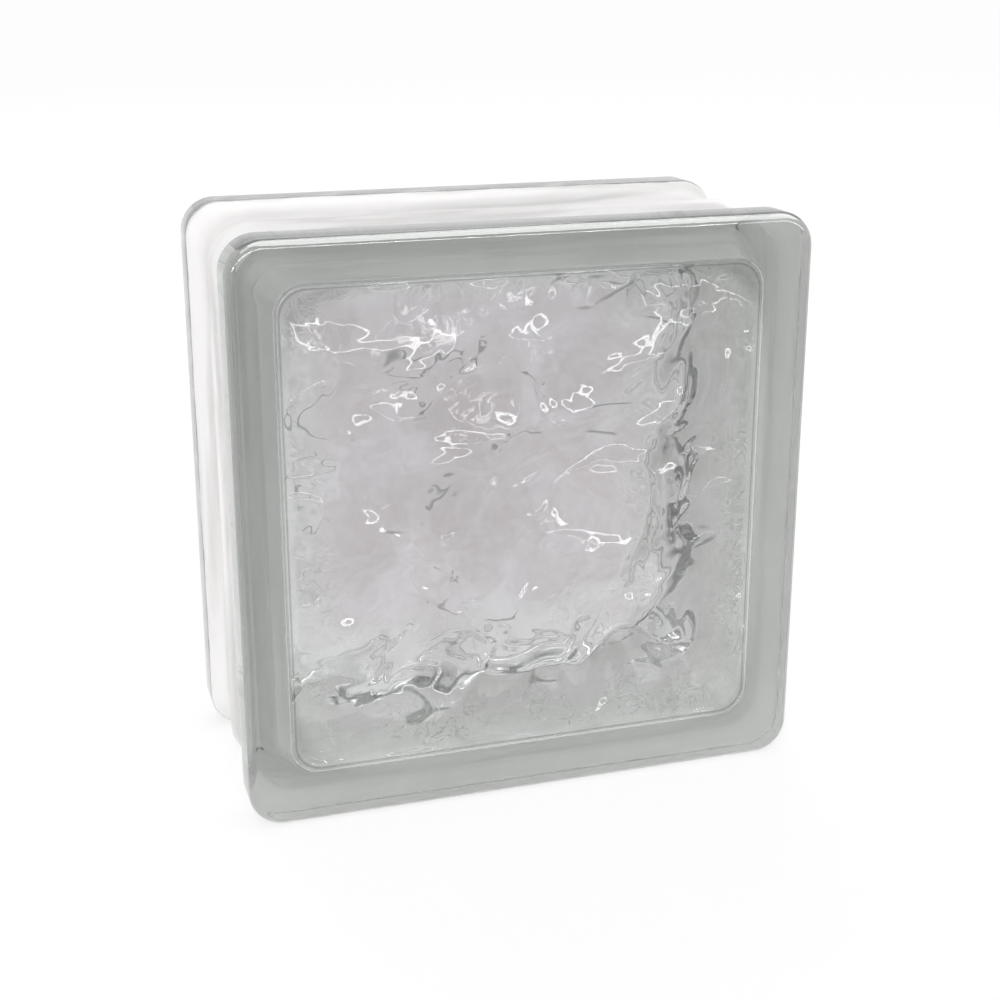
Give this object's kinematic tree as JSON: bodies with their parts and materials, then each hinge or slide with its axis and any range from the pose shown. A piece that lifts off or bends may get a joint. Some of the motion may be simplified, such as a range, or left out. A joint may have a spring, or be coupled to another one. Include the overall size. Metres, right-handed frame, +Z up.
{
  "type": "glass block",
  "caption": "Square hollow glass block for walls, with smooth clear faces, a wavy pattern pressed inside them, and a white-coated recessed edge that keys into mortar.",
  "frame": {"origin": "middle of the underside, on the plane the block stands on", "axes": "+Z up, -Y out of the front face, +X to the right as the front face is seen"},
  "size_m": [0.1968, 0.0984, 0.1969],
  "materials": {
    "glass": "clear pressed glass, smooth outside, with a thin white coat on the recessed edge"
  },
  "bodies": {
    "root": {"glass_block": "glass"}
  },
  "joints": []
}
